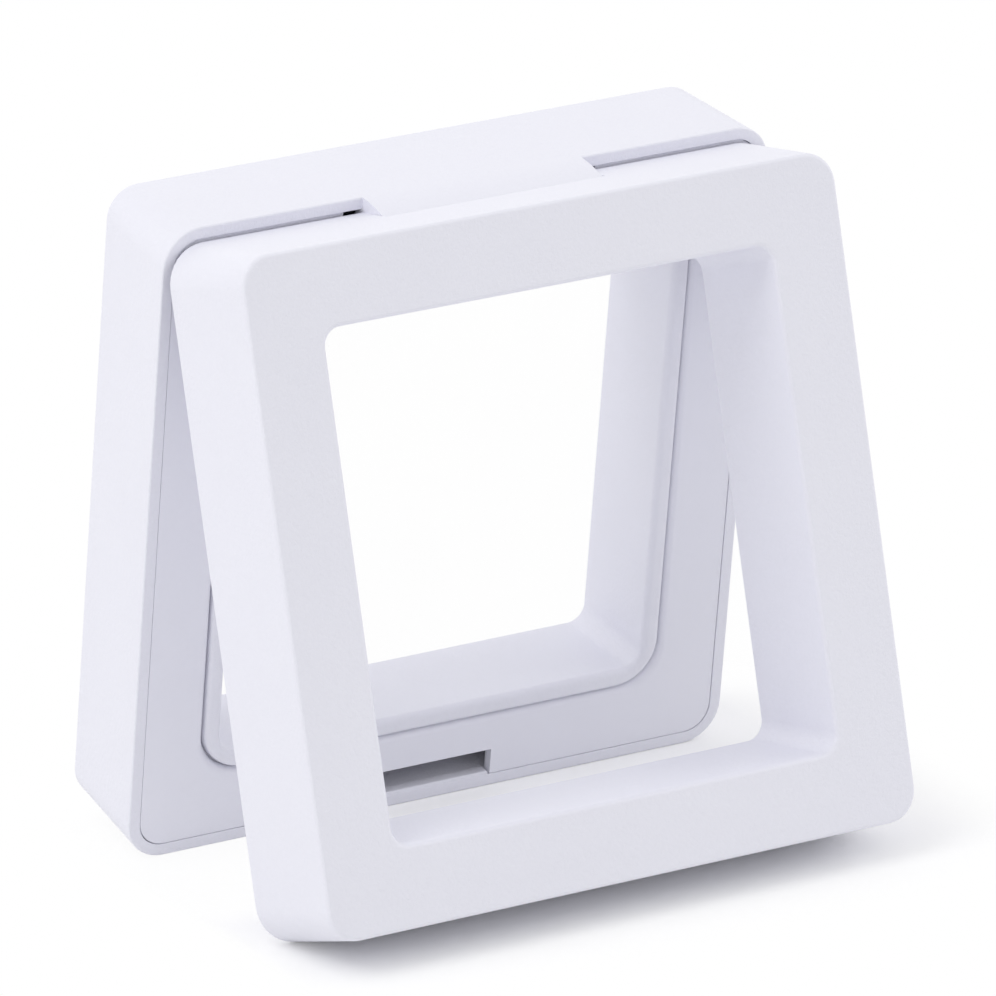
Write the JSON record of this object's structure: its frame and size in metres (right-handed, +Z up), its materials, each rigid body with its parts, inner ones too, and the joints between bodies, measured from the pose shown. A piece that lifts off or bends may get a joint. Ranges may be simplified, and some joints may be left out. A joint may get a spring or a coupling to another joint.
{
  "type": "shadow box frame",
  "caption": "Hinged square display frame in white plastic: two hollow ring halves with clear films, joined at the top, that close on a small item or stand open as an A.",
  "frame": {"origin": "on the floor, under the middle of the box round the standing open frame", "axes": "+Z up, X along the hinge, the front half on the -Y side and the rear half on the +Y side"},
  "size_m": [0.05, 0.0378, 0.0501],
  "materials": {
    "shell_plastic": "fine matte mould texture, cool white",
    "panel_plastic": "smooth satin, cool white",
    "clear_film": "clear stretched film",
    "pin_steel": "drawn wire"
  },
  "bodies": {
    "rear_half": {"rear_shell": "shell_plastic", "rear_clamp_panel": "panel_plastic", "rear_film": "clear_film"},
    "front_half": {"front_shell": "shell_plastic", "front_clamp_panel": "panel_plastic", "front_film": "clear_film", "hinge_pin": "pin_steel"}
  },
  "joints": [
    {"name": "top_hinge", "type": "hinge", "parent": "rear_half", "child": "front_half", "pos_m": [0, -0.00023, 0.04786], "axis": [-1, 0, 0], "range_deg": [-22.72, 39.28]}
  ]
}
